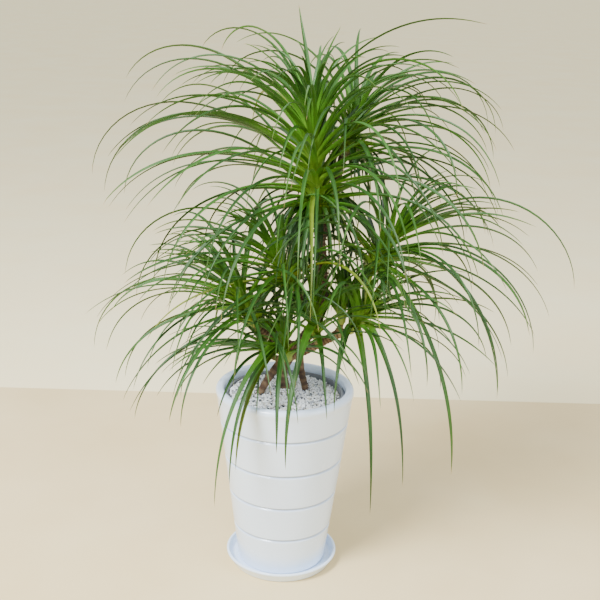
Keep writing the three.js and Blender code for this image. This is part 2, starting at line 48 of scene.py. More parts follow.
# ---------- pot, saucer and nursery pot, in mm ----------
ROUND_SIDES = 160
SAUCER_RADIUS = 99
SAUCER_BASE_RADIUS = 90
SAUCER_HEIGHT = 20.5
SAUCER_FLOOR = 7.5
SAUCER_WALL = 5
GAP = 0.35
POT_BOTTOM = SAUCER_FLOOR + GAP
POT_TOP = 336
POT_BASE_RADIUS = 77.5
POT_RIM_RADIUS = 120
POT_RIM_WIDTH = 14
POT_WALL = 8
POT_FLOOR = 10
POT_HOLE_RADIUS = 11
GROOVE_HEIGHTS = (78.6, 144, 209.5, 276)
GROOVE_HALF = 2.4
GROOVE_DEPTH = 2.8
NURSERY_BOTTOM = POT_BOTTOM + POT_FLOOR + GAP
NURSERY_TOP = 324
NURSERY_BASE_RADIUS = 66
NURSERY_TOP_RADIUS = 100
NURSERY_WALL = 2.2
NURSERY_LIP = 2.4

# ---------- gravel, in mm ----------
GRAVEL_TOP = 319
GRAVEL_BOTTOM = GRAVEL_TOP - 16
GRAVEL_REACH = 97
PEBBLE_PITCH = 3.9
PEBBLE_SIZES = (1.4, 2.9)
PEBBLE_KINDS = 9
PEBBLE_SEED = 11
ROW_PITCH = PEBBLE_PITCH * 0.866  # rows of a close-packed layer

# ---------- bark, in mm ----------
WOOD_GRAIN = 1.3
RING_PITCH = 6.5
RING_HEIGHT = 1.0
GREEN_WOOD = 22  # the length of green new wood under a crown
FAR_FROM_CROWN = 400  # stands for a root, which has no green wood

# ---------- setting, in metres and degrees ----------
LIGHT_TARGET = Vector((0, 0, 0.5))
FLOOR_REACH = 60.0
TAN_EDGE = 0.75  # how far behind the pot the floor turns from tan to cream
CAMERA_PLACE = (0.0217, -1.721, 1.044)
CAMERA_TILT = 72.2
CAMERA_ROLL = 1.6
CAMERA_LENS = 64.14

# ---------- wood and leaves, in mm and degrees, as in the CAD source ----------
LEAF_STEPS = 5
BLADE_STEPS = 26
ARCH_POWER = 1.5
LEAF_CLEARANCE = 1.2
LEAF_TRIES = 14
EXTRA_LEAVES = 0.6  # finer leaves added between those of the solids, as a share of them
FULLER = {"leaf_crown_fork": 0.9, "leaf_crown_side": 1.0, "leaf_crown_front": 0.9}
SKIRTS = {  # old leaves that hang down round the stem: how many, and the longest in mm
    "leaf_crown_top": (60, 215), "leaf_crown_back": (20, 200), "leaf_crown_right": (14, 130),
    "leaf_crown_middle_left": (10, 120),
}
SHEATH_STEPS = 4
SHEATH_JOINT = 2  # the blade station where the sheath ends
BLADE_SEED = 77
VALUE_SEED = 55
DRY_CHANCE = 0.4
YELLOW_CHANCE = 0.014

STILT_ROOTS = {
    "left_root": [(-56, -9, 297, 6.5), (-43, -2, 322, 6.5), (-14, 15, 366, 7), (14, 15, 392, 7)],
    "centre_root": [(3, 31, 292, 9), (-1, 26, 325, 8), (-3, 19, 358, 6.5), (16, 14, 394, 8)],
    "right_root": [(40, 31, 296, 6), (33, 24, 330, 6), (26, 18, 362, 6.5), (22, 14, 394, 8)],
}

# wood: a crown's branch as (x, y, z, radius), ending at its lowest leaf. lean: how its leafy stem
# points. clad: the length of stem under leaves. leaves: how many grow by rule. length: shortest and
# longest. open: how far the oldest stand off the stem. hang: where their tips point. own: leaves of
# marked shape as [place up the stem 0 to 1, heading, launch, tip, length, bend], and a seventh
# number where the leaf is broader than its crown's width.
CROWNS = [
  {
    "name": "leaf_crown_top",
    "wood": [
      [18, 14, 386, 10], [24, 13, 406, 11.5], [46, 12, 443, 10], [54, 10, 482, 10],
      [58, 8, 520, 10.5], [56, 5, 560, 9.5], [51, 2, 605, 9], [47, 0, 650, 9],
    ],
    "lean": [-0.1, -0.02, 1], "clad": 150,
    "leaves": 72, "length": [240, 380], "width": 10, "open": 80, "hang": -78, "spin": 20,
    "own": [
      [0.9, -2, 84, -14, 352, 0.9], [1, 20, 83, 60, 150, 1.5], [0.9, 136, 69, -64, 310, 1.9],
      [0.7, 150, 78, -54, 330, 1.8], [0.7, 162, 50, -60, 404, 2], [0.65, 177, 55, -69, 386, 1.8],
      [0.85, 170, 61, -61, 334, 1.4], [0.5, 192, 67, -57, 336, 1.7], [0.15, 145, 50, -50, 410, 2],
      [0.3, 175, 44, -88, 470, 1.8], [0.5, 182, 37, -87, 424, 1.6], [0.1, 186, 47, -88, 396, 1.8],
      [0.7, -20, 82, -74, 351, 1.3], [0.5, 24, 51, -88, 425, 2], [0.3, 12, 62, -88, 422, 1.9],
      [0.95, 115, 80, 62, 190, 1.3], [0.8, -95, 66, -60, 170, 1.6], [0.6, -110, 58, -80, 200, 1.3],
      [0.4, -125, 50, -84, 230, 1.2], [0.3, -80, 44, -86, 250, 1.1],
    ],
  },
  {
    "name": "leaf_crown_back",
    "wood": [[53, 4, 590, 8], [64, 28, 640, 7.5], [80, 50, 700, 7.5], [90, 60, 738, 7.5]],
    "lean": [0.3, 0.3, 0.9], "clad": 70,
    "leaves": 24, "length": [210, 320], "width": 10, "open": 82, "hang": -78, "spin": 75,
    "own": [
      [0.3, 8, 41, -78, 317, 2], [0.35, 12, 40, -87, 323, 1.5], [0.15, -74, 41, -80, 290, 1.3],
      [0.05, -84, 33, -76, 300, 1.2],
    ],
  },
  {
    "name": "leaf_crown_right",
    "wood": [[57, 9, 482, 8], [84, 10, 500, 7.5], [110, 10, 514, 7.5], [140, 10, 543, 7]],
    "lean": [0.5, 0.05, 0.85], "clad": 84,
    "leaves": 36, "length": [200, 330], "width": 9, "open": 78, "hang": -82, "spin": 50,
    "own": [
      [0.41, -25, 60, -86, 430, 1.3], [0.25, -32, 40, -88, 371, 1.1], [0.12, -50, 50, -88, 390, 0.8],
      [0.41, -52, 30, -88, 380, 0.9], [0.08, -44, -4, -88, 390, 0.5, 1.2],
    ],
  },
  {
    "name": "leaf_crown_middle_left",
    "wood": [[52, 9, 470, 8], [36, -6, 492, 7], [12, -24, 522, 7]],
    "lean": [-0.5, -0.15, 0.85], "clad": 74,
    "leaves": 30, "length": [190, 300], "width": 9, "open": 78, "hang": -76, "spin": 100,
    "own": [
      [0.41, 195, 68, -86, 364, 1.3], [0.25, 176, 66, -87, 350, 1],
    ],
  },
  {
    "name": "leaf_crown_low_left",
    "wood": [[20, 12, 402, 9], [-4, 8, 411, 7.5], [-30, 0, 427, 7.5], [-54, -9, 452, 7]],
    "lean": [-0.45, -0.1, 0.88], "clad": 80,
    "leaves": 36, "length": [190, 300], "width": 9, "open": 82, "hang": -80, "spin": 10,
    "own": [
      [0.57, 160, 20, -88, 365, 1.4], [0.12, 176, 40, -79, 311, 1.1], [0.08, 222, 45, -77, 262, 1.2],
    ],
  },
  {
    "name": "leaf_crown_low_right",
    "wood": [[22, 12, 392, 9], [55, 5, 411, 7.5], [83, 0, 430, 7.5], [108, -4, 441, 6.5]],
    "lean": [0.5, -0.12, 0.8], "clad": 60,
    "leaves": 22, "length": [180, 270], "width": 8.5, "open": 70, "hang": -82, "spin": 35,
    "own": [
      [0.21, -80, 0, -88, 335, 0.45, 1.3], [0.5, -62, 6, -88, 310, 0.45, 1.3],
      [0.36, -5, 34, -80, 270, 1.3],
    ],
  },
  {
    "name": "leaf_crown_side",
    "wood": [[84, 0, 431, 6], [91, 0, 444, 5], [93, 0, 455, 5]],
    "lean": [0.02, 0.1, 1], "clad": 46,
    "leaves": 16, "length": [150, 260], "width": 8, "open": 48, "hang": -50, "spin": 65,
    "own": [],
  },
  {
    "name": "leaf_crown_fork",
    "wood": [[58, 4, 412, 6], [53, -8, 420, 5.5], [51, -11, 430, 5.5]],
    "lean": [-0.1, -0.06, 1], "clad": 66,
    "leaves": 30, "length": [170, 290], "width": 9, "open": 52, "hang": -44, "spin": 0,
    "own": [
      [0.3, -104, 42, -88, 288, 0.45, 1.5], [0.12, -80, 4, -64, 170, 0.5],
    ],
  },
  {
    "name": "leaf_crown_front",
    "wood": [[20, 12, 392, 7], [10, -2, 388, 6], [3, -15, 390, 5.5]],
    "lean": [-0.2, -0.2, 0.92], "clad": 52,
    "leaves": 18, "length": [150, 240], "width": 9, "open": 62, "hang": -48, "spin": 90,
    "own": [
      [0.58, -122, 38, -88, 332, 0.45, 1.3], [0.5, -118, 41, -86, 284, 0.45, 1.3],
      [0.32, -117, 40, -86, 254, 0.5, 1.2], [0.39, -88, 20, -88, 226, 0.8, 1.3],
    ],
  },
  {
    "name": "leaf_crown_root",
    "wood": [[8, 15, 384, 6], [-14, 18, 378, 5.5], [-31, 20, 386, 5]],
    "lean": [-0.45, 0.1, 0.9], "clad": 28,
    "leaves": 13, "length": [120, 220], "width": 7.5, "open": 74, "hang": -66, "spin": 15,
    "own": [],
  },
]


# ---------- materials ----------
class Look:
    """A material on one Principled shader, with short calls that add the nodes it needs."""

    def __init__(self, name, **values):
        self.material = bpy.data.materials.new(name)
        self.material.use_nodes = True
        self.tree = self.material.node_tree
        self.shader = self.tree.nodes["Principled BSDF"]
        for socket, value in values.items():
            title = "IOR" if socket == "ior" else socket.replace("_", " ").title()
            self.shader.inputs[title].default_value = value

    def node(self, kind, inputs=None, **settings):
        made = self.tree.nodes.new("ShaderNode" + kind)
        for key, value in settings.items():
            setattr(made, key, value)
        for key, value in (inputs or {}).items():
            self.put(value, made.inputs[key])
        return made

    def put(self, value, socket):
        """Links an output to a socket, or sets the socket to a plain value."""
        if isinstance(value, bpy.types.NodeSocket):
            self.tree.links.new(value, socket)
        else:
            socket.default_value = value

    def set(self, socket, value):
        self.put(value, self.shader.inputs[socket])

    def place(self):
        return self.node("TexCoord").outputs["Object"]

    def value_of(self, name):
        return self.node("Attribute", attribute_name=name).outputs["Fac"]

    def math(self, operation, first, second=0.0, clamp=False):
        made = self.node("Math", operation=operation, use_clamp=clamp)
        self.put(first, made.inputs[0])
        self.put(second, made.inputs[1])
        return made.outputs[0]

    def noise(self, scale, detail, place=None, roughness=0.55):
        inputs = {
            "Vector": place or self.place(), "Scale": scale, "Detail": detail, "Roughness": roughness,
        }
        return self.node("TexNoise", inputs).outputs["Fac"]

    def cells(self, scale):
        return self.node("TexVoronoi", {"Vector": self.place(), "Scale": scale})

    def stretched(self, scale):
        return self.node("Mapping", {"Vector": self.place(), "Scale": scale}).outputs[0]

    def ramp(self, fac, stops, interpolation="LINEAR"):
        made = self.node("ValToRGB", {"Fac": fac})
        ramp = made.color_ramp
        ramp.interpolation = interpolation
        while len(ramp.elements) < len(stops):
            ramp.elements.new(0.5)
        for element, (position, colour) in zip(ramp.elements, stops):
            element.position = position
            element.color = (*colour, 1)
        return made.outputs["Color"]

    def blend(self, fac, first, second, mode="MIX"):
        made = self.node("Mix", data_type="RGBA", blend_type=mode)
        self.put(fac, made.inputs[0])
        self.put(first if isinstance(first, bpy.types.NodeSocket) else (*first, 1), made.inputs[6])
        self.put(second if isinstance(second, bpy.types.NodeSocket) else (*second, 1), made.inputs[7])
        return made.outputs[2]

    def span(self, fac, low, high, start=0.0, end=1.0):
        made = self.node("MapRange", {0: fac, 1: start, 2: end, 3: low, 4: high})
        return made.outputs[0]

    def bump(self, height, strength, distance, under=None):
        inputs = {"Height": height, "Strength": strength, "Distance": distance}
        if under is not None:
            inputs["Normal"] = under
        return self.node("Bump", inputs).outputs[0]


def glaze_look():
    """Bluish white glaze with faint cloudiness and a few iron specks, and painted shade that darkens the
    grooves.
    """
    look = Look("white_glaze", ior=1.5, coat_weight=0.35, coat_roughness=0.05)
    cloud = look.noise(9, 4)
    body = look.ramp(cloud, [(0.3, (0.70, 0.81, 0.98)), (0.7, (0.75, 0.86, 1.0))])
    # painted shade: a darker blue-grey laid into the grooves, where shade falls
    body = look.blend(look.value_of("painted_groove_shade"), body, (0.40, 0.47, 0.60))
    speck = look.math("LESS_THAN", look.cells(42.0).outputs["Distance"], 0.05)
    rare = look.math("GREATER_THAN", look.noise(14, 1), 0.66)
    spots = look.math("MULTIPLY", speck, rare)
    look.set("Base Color", look.blend(look.math("MULTIPLY", spots, 0.6), body, (0.16, 0.14, 0.13)))
    look.set("Roughness", look.span(look.noise(30, 4), 0.14, 0.30, 0.3, 0.75))
    ripple = look.bump(look.noise(16, 2), 0.16, 0.0009)
    look.set("Normal", look.bump(look.noise(240, 2), 0.05, 0.0002, ripple))
    return look.material


def plastic_look(name, dark, light, roughness):
    """Moulded plastic with dust and a fine grain."""
    look = Look(name)
    look.set("Base Color", look.ramp(look.noise(28, 5), [(0.3, dark), (0.75, light)]))
    look.set("Roughness", look.span(look.noise(90, 3), roughness - 0.08, roughness + 0.12))
    look.set("Normal", look.bump(look.noise(900, 2), 0.18, 0.0002))
    return look.material


def soil_look():
    """Dark crumbs with paler bits of fibre."""
    look = Look("potting_soil")
    crumbs = look.cells(230.0).outputs["Distance"]
    colour = look.ramp(look.noise(120, 6), [
        (0.3, (0.012, 0.008, 0.005)), (0.62, (0.05, 0.032, 0.02)), (0.75, (0.16, 0.11, 0.07)),
    ])
    look.set("Base Color", colour)
    look.set("Roughness", look.span(crumbs, 0.85, 1.0))
    look.set("Normal", look.bump(crumbs, 0.8, 0.002))
    return look.material


def stone_look(name, stops, scale):
    """Small stones: each takes its colour from its own tone, with grains and pits."""
    look = Look(name)
    grain = look.noise(scale, 5, roughness=0.7)
    colour = look.ramp(look.value_of("tone"), stops, "CONSTANT")
    shade = look.ramp(grain, [(0.35, (0.62, 0.62, 0.62)), (0.7, (1, 1, 1))])
    look.set("Base Color", look.blend(0.5, colour, shade, "MULTIPLY"))
    look.set("Roughness", look.span(grain, 0.55, 0.9))
    look.set("Normal", look.bump(grain, 0.5, 0.0005))
    return look.material


def layer_look(name, dark, light, scale):
    """A packed layer of stones, seen as cells of different greys."""
    look = Look(name)
    cells = look.cells(scale)
    grey = look.node("SeparateColor", {"Color": cells.outputs["Color"]}).outputs[0]
    look.set("Base Color", look.ramp(grey, [(0.0, dark), (1.0, light)]))
    look.set("Roughness", look.span(cells.outputs["Distance"], 0.6, 0.95))
    look.set("Normal", look.bump(cells.outputs["Distance"], 0.9, 0.002))
    return look.material


def bark_look():
    """Brown bark: dark in the ring scars, greyer where it is old, with lengthwise cracks."""
    look = Look("ringed_bark")
    ring = look.value_of("ring")
    young = look.value_of("young")
    patches = look.noise(45, 5, roughness=0.65)
    old = look.ramp(patches, [
        (0.28, (0.045, 0.026, 0.014)), (0.46, (0.15, 0.090, 0.045)),
        (0.62, (0.26, 0.18, 0.10)), (0.78, (0.34, 0.28, 0.19)),
    ])
    green = look.ramp(patches, [(0.3, (0.16, 0.17, 0.05)), (0.7, (0.34, 0.33, 0.12))])
    colour = look.blend(young, old, green)
    scar = look.span(ring, 1.0, 0.0, 0.0, 0.5)
    colour = look.blend(look.math("MULTIPLY", scar, 0.65), colour, (0.03, 0.014, 0.009))
    red = look.math("MULTIPLY", look.span(look.noise(22, 2), 0, 1, 0.5, 0.7), 0.35)
    colour = look.blend(red, colour, (0.13, 0.035, 0.022))
    look.set("Base Color", colour)
    look.set("Roughness", look.span(patches, 0.72, 0.95))
    fine = look.noise(1.0, 5, look.stretched((620, 620, 190)), 0.7)
    look.set("Normal", look.bump(look.noise(260, 4), 0.5, 0.0012, look.bump(fine, 0.55, 0.0008)))
    return look.material


def leaf_look():
    """Glossy linear leaf: pale clasping base, deep green blade with fine lengthwise veins, a lighter
    keel and margins, a dry tip, and a tone of its own for each leaf."""
    look = Look("screw_pine_leaf", ior=1.42)
    where = look.node("SeparateXYZ", {"Vector": look.node("UVMap", uv_map="blade").outputs[0]})
    across = where.outputs[0]
    along = where.outputs[1]
    tone = look.value_of("tone")
    deep = look.ramp(along, [
        (0.0, (0.30, 0.35, 0.075)), (0.06, (0.17, 0.30, 0.025)), (0.17, (0.050, 0.165, 0.008)),
        (0.38, (0.009, 0.050, 0.005)), (0.75, (0.011, 0.047, 0.006)), (1.0, (0.035, 0.070, 0.010)),
    ])
    bright = look.ramp(along, [
        (0.0, (0.44, 0.48, 0.11)), (0.07, (0.27, 0.46, 0.04)), (0.19, (0.12, 0.34, 0.014)),
        (0.45, (0.038, 0.138, 0.009)), (0.8, (0.041, 0.138, 0.012)), (1.0, (0.10, 0.18, 0.025)),
    ])
    patches = look.noise(26, 4, roughness=0.6)
    mixed = look.math("ADD", tone, look.span(patches, -0.22, 0.22, 0.3, 0.7), True)
    colour = look.blend(mixed, deep, bright)
    veins = look.math("SINE", look.math("MULTIPLY", across, 2 * math.pi * 11))
    stripes = look.span(veins, 0.0, 0.16, -1.0, 1.0)
    colour = look.blend(stripes, colour, (0.09, 0.21, 0.025))
    off_keel = look.math("ABSOLUTE", look.math("SUBTRACT", across, 0.5))
    keel = look.span(off_keel, 0.5, 0.0, 0.0, 0.07)
    colour = look.blend(keel, colour, (0.10, 0.22, 0.03))
    margin = look.span(off_keel, 0.0, 0.4, 0.465, 0.5)
    colour = look.blend(margin, colour, (0.14, 0.22, 0.04))
    yellow = look.ramp(patches, [(0.3, (0.13, 0.20, 0.006)), (0.7, (0.24, 0.27, 0.010))])
    colour = look.blend(look.value_of("yellow"), colour, yellow)
    wither = look.math("MULTIPLY", look.span(along, 0.0, 1.0, 0.955, 0.985), look.value_of("dry"))
    colour = look.blend(wither, colour, (0.30, 0.19, 0.07))
    look.set("Base Color", colour)
    look.set("Roughness", look.span(look.noise(60, 3), 0.36, 0.54, 0.3, 0.7))
    ribs = look.bump(veins, 0.25, 0.0003)
    look.set("Normal", look.bump(look.noise(420, 2), 0.08, 0.0003, ribs))
    return look.material


# ---------- meshes ----------
def new_piece(name, corners, faces, material, slot, *stands_for):
    """A smooth-shaded piece from corners in mm, riding on the only body."""
    mesh = bpy.data.meshes.new(name)
    mesh.from_pydata([tuple(c) for c in np.asarray(corners) * MM], [], faces)
    mesh.validate()
    mesh.materials.append(material)
    mesh.shade_smooth()
    piece = bpy.data.objects.new(name, mesh)
    bpy.context.scene.collection.objects.link(piece)
    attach(piece, "root")
    if stands_for:
        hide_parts(*stands_for)
    return piece


def put_values(mesh, name, values):
    """Stores one number per corner for a material to read."""
    store = mesh.attributes.new(name, "FLOAT", "POINT")
    store.data.foreach_set("value", np.asarray(values, np.float32))


def band(low, high, sides):
    """Faces between two rings of corners, from the number of each ring's first corner."""
    return [(low + j, low + (j + 1) % sides, high + (j + 1) % sides, high + j) for j in range(sides)]


def stack_faces(rings, sides):
    """Faces of a closed stack of rings, with a flat end at both."""
    faces = [face for i in range(rings - 1) for face in band(i * sides, (i + 1) * sides, sides)]
    faces.append(tuple(reversed(range(sides))))
    faces.append(tuple(range((rings - 1) * sides, rings * sides)))
    return faces


def turned(profile, sides=ROUND_SIDES, wobble=None):
    """Corners and faces of a solid turned about the axis. The profile is (radius, height) points
    that start and end on the axis, or close on themselves when the first has a radius."""
    closed = profile[0][0] > 0
    turns = np.arange(sides) * 2 * math.pi / sides
    rings = profile if closed else profile[1:-1]
    corners = [(r * math.cos(t), r * math.sin(t), z) for r, z in rings for t in turns]
    if wobble:
        corners = [wobble(*corner) for corner in corners]
    faces = []
    count = len(rings)
    for i in range(count if closed else count - 1):
        faces += band(i * sides, ((i + 1) % count) * sides, sides)
    if not closed:
        first, last = len(corners), len(corners) + 1
        ends = [(0, 0, profile[0][1]), (0, 0, profile[-1][1])]
        corners += [wobble(*end) for end in ends] if wobble else ends
        for j in range(sides):
            k = (j + 1) % sides
            faces.append((first, k, j))
            faces.append((last, (count - 1) * sides + j, (count - 1) * sides + k))
    return corners, faces


def arc(centre_r, centre_z, radius_r, radius_z, start, end, steps):
    """Points on part of an ellipse in the (radius, height) plane, with angles in degrees."""
    angles = np.radians(np.linspace(start, end, steps + 1))
    return [(centre_r + radius_r * math.cos(a), centre_z + radius_z * math.sin(a)) for a in angles]


# ---------- pot, saucer, nursery pot ----------
def pot_radius(height):
    share = (height - POT_BOTTOM) / (POT_TOP - POT_BOTTOM)
    return POT_BASE_RADIUS + (POT_RIM_RADIUS - POT_BASE_RADIUS) * share


def saucer_piece(glaze):
    lip = SAUCER_WALL / 2
    profile = [(0, 0.6), (SAUCER_BASE_RADIUS - 14, 0.6), (SAUCER_BASE_RADIUS - 12, 0)]
    profile += arc(SAUCER_BASE_RADIUS - 3.5, 3.5, 3.5, 3.5, -90, -22, 5)
    profile += [(SAUCER_RADIUS - 3.2, 13), (SAUCER_RADIUS - 1.2, 15.6)]
    profile += arc(SAUCER_RADIUS - lip, SAUCER_HEIGHT - lip, lip, lip, -20, 180, 10)
    profile += [(SAUCER_BASE_RADIUS + 2.5, 13)]
    profile += arc(SAUCER_BASE_RADIUS - 6, SAUCER_FLOOR + 5, 6, 5, -10, -90, 6)
    profile += [(0, SAUCER_FLOOR)]
    corners, faces = turned(profile)
    new_piece("saucer_dish", corners, faces, glaze, "saucer_glaze", "saucer")


def groove_dip(height):
    """How far into a groove the outside of the pot is, from 0 to 1."""
    return sum(math.exp(-(((height - g) / GROOVE_HALF) ** 2) * 1.6) for g in GROOVE_HEIGHTS)


def pot_piece(glaze):
    """Tapered wall with shallow rounded grooves, and a thick rolled rim."""
    foot = POT_BASE_RADIUS
    outside = [(POT_HOLE_RADIUS, POT_BOTTOM), (foot - 12, POT_BOTTOM)]
    outside += arc(foot - 4, POT_BOTTOM + 4, 4, 4, -90, -8, 5)
    levels = np.linspace(POT_BOTTOM + 6, POT_TOP - 16, 120)
    for groove in GROOVE_HEIGHTS:
        near = np.linspace(groove - 2 * GROOVE_HALF, groove + 2 * GROOVE_HALF, 15)
        levels = np.concatenate([levels[np.abs(levels - groove) > 2 * GROOVE_HALF], near])
    for height in np.sort(levels):
        outside.append((pot_radius(height) - GROOVE_DEPTH * groove_dip(height), height))
    rim = arc(POT_RIM_RADIUS - 7, POT_TOP - 8, 7, 8, -15, 90, 9)
    rim += arc(POT_RIM_RADIUS - 8.5, POT_TOP - 6.5, 6.5, 6.5, 96, 178, 8)
    inside = [
        (POT_RIM_RADIUS - POT_RIM_WIDTH - 1.4, POT_TOP - 16),
        (pot_radius(GROOVE_HEIGHTS[-1]) - POT_WALL, GROOVE_HEIGHTS[-1]),
        (foot - POT_WALL, POT_BOTTOM + POT_FLOOR + 4),
        (foot - POT_WALL - 4, POT_BOTTOM + POT_FLOOR),
        (POT_HOLE_RADIUS, POT_BOTTOM + POT_FLOOR),
    ]
    corners, faces = turned(outside + rim + inside)
    piece = new_piece("glazed_pot", corners, faces, glaze, "pot_glaze", "cover_pot")
    # painted shade: how far each outer corner sits in a groove, for the glaze to darken it there
    put_values(piece.data, "painted_groove_shade", [
        groove_dip(z) * (math.hypot(x, y) > pot_radius(z) - GROOVE_DEPTH - 1) for x, y, z in corners
    ])


def nursery_piece(material):
    top, lip = NURSERY_TOP_RADIUS, NURSERY_LIP
    profile = [(0, NURSERY_BOTTOM), (NURSERY_BASE_RADIUS, NURSERY_BOTTOM)]
    profile += [(top - 1.2, NURSERY_TOP - 12)]
    profile += arc(top + lip - 1, NURSERY_TOP - 9.5, 1, 1, -60, 0, 3)
    profile += arc(top + lip - 1.2, NURSERY_TOP - 1.2, 1.2, 1.2, 0, 90, 4)
    profile += arc(top - NURSERY_WALL + 0.8, NURSERY_TOP - 0.8, 0.8, 0.8, 90, 180, 4)
    profile += [(NURSERY_BASE_RADIUS - NURSERY_WALL, NURSERY_BOTTOM + NURSERY_WALL)]
    profile += [(0, NURSERY_BOTTOM + NURSERY_WALL)]
    corners, faces = turned(profile)
    new_piece("inner_pot", corners, faces, material, "nursery_plastic", "nursery_pot")


# ---------- gravel ----------
def gravel_height(x, y):
    """The gravel lies deeper at the left than at the right."""
    slope = -2.6 * x / GRAVEL_REACH
    return GRAVEL_TOP + slope + 1.6 * noise.noise(Vector((x * 0.035, y * 0.035, 3)))


def gravel_bed(material):
    def lumpy(x, y, z):
        lift = gravel_height(x, y) - GRAVEL_TOP - 1.6 if z > GRAVEL_TOP - 1 else 0
        return x, y, z + lift

    rings = [(reach, GRAVEL_TOP) for reach in np.linspace(GRAVEL_REACH - 0.6, 4, 22)]
    profile = [(0, GRAVEL_BOTTOM), (GRAVEL_REACH - 2.5, GRAVEL_BOTTOM), *rings, (0, GRAVEL_TOP)]
    corners, faces = turned(profile, 72, lumpy)
    new_piece("gravel_bed", corners, faces, material, "gravel", "gravel")


def stone_shapes(random, kinds):
    """Rounded, slightly broken stone shapes of radius 1, as corners and shared faces."""
    ball = bpy.data.meshes.new("ball")
    form = bmesh.new()
    bmesh.ops.create_icosphere(form, subdivisions=2, radius=1)
    form.to_mesh(ball)
    form.free()
    round_corners = np.array([v.co for v in ball.vertices])
    faces = np.array([p.vertices for p in ball.polygons])
    bpy.data.meshes.remove(ball)
    shapes = []
    for _ in range(kinds):
        shape = round_corners.copy()
        for _ in range(5):
            cut = random.normal(size=3)
            cut /= np.linalg.norm(cut)
            depth = random.uniform(0.66, 0.9)
            over = np.maximum(shape @ cut - depth, 0)
            shape -= np.outer(over * 0.85, cut)
        shapes.append(shape * random.uniform((0.8, 0.7, 0.5), (1.25, 1.0, 0.8)))
    return shapes, faces


def random_turn(random):
    """A rotation matrix with no favoured direction."""
    q = random.normal(size=4)
    w, x, y, z = q / np.linalg.norm(q)
    return np.array([
        [1 - 2 * (y * y + z * z), 2 * (x * y - z * w), 2 * (x * z + y * w)],
        [2 * (x * y + z * w), 1 - 2 * (x * x + z * z), 2 * (y * z - x * w)],
        [2 * (x * z - y * w), 2 * (y * z + x * w), 1 - 2 * (x * x + y * y)],
    ])


def pebbles(material):
    """A layer of small stones on the gravel's surface, clear of the wood."""
    random = np.random.default_rng(PEBBLE_SEED)
    shapes, faces = stone_shapes(random, PEBBLE_KINDS)
    feet = np.array([root[0] for root in STILT_ROOTS.values()], float)
    corners, all_faces, tones = [], [], []
    rows = int(GRAVEL_REACH / ROW_PITCH)
    columns = int(GRAVEL_REACH / PEBBLE_PITCH)
    for row in range(-rows, rows + 1):
        shift = 0.5 * (row % 2)
        for column in range(-columns, columns + 1):
            x = (column + shift) * PEBBLE_PITCH + random.normal() * 0.7
            y = row * ROW_PITCH + random.normal() * 0.7
            size = random.uniform(*PEBBLE_SIZES)
            turn = random_turn(random)
            tone = random.uniform()
            lift = random.uniform(-0.9, 1.0)
            to_wood = min(math.hypot(x - f[0], y - f[1]) - f[3] for f in feet)
            if math.hypot(x, y) + size > GRAVEL_REACH or to_wood < size * 0.3:
                continue
            shape = shapes[random.integers(len(shapes))] @ turn.T * size
            start = len(corners) * len(shape)
            corners.append(shape + (x, y, gravel_height(x, y) + lift))
            all_faces.append(faces + start)
            tones.append(np.full(len(shape), tone))
    all_faces = np.concatenate(all_faces).tolist()
    piece = new_piece("gravel_stones", np.concatenate(corners), all_faces, material, "gravel")
    put_values(piece.data, "tone", np.concatenate(tones))


# ---------- plant: how the wood and leaves run ----------
def unit(vector):
    return vector / np.linalg.norm(vector)


def mix(low, high, share):
    return low + (high - low) * share


for crown in CROWNS:
    *foot, radius = crown["wood"][-1]
    crown["base"] = np.array(foot, float)
    crown["axis"] = unit(np.array(crown["lean"], float))
    crown["stem"] = radius
    crown["extra"] = round(crown["leaves"] * FULLER.get(crown["name"], EXTRA_LEAVES))
    crown["skirt"], crown["skirt_length"] = SKIRTS.get(crown["name"], (0, 0))


def stream(crown_index, leaf_index, attempt):
    """A repeatable stream of numbers from 0 to 1 for one leaf, the same as the CAD source draws."""
    state = crown_index * 7919 + leaf_index * 104729 + attempt * 1299709 + 17

    def draw():
        nonlocal state
        state = (state * 1664525 + 1013904223) % 4294967296
        return state / 4294967296

    draw()
    draw()
    return draw


def across(axis):
    """Two directions square to a crown's stem."""
    side = np.cross((0, 0, 1), axis)
    if np.linalg.norm(side) < 0.05:
        side = np.array((1.0, 0, 0))
    side = unit(side)
    return side, unit(np.cross(axis, side))


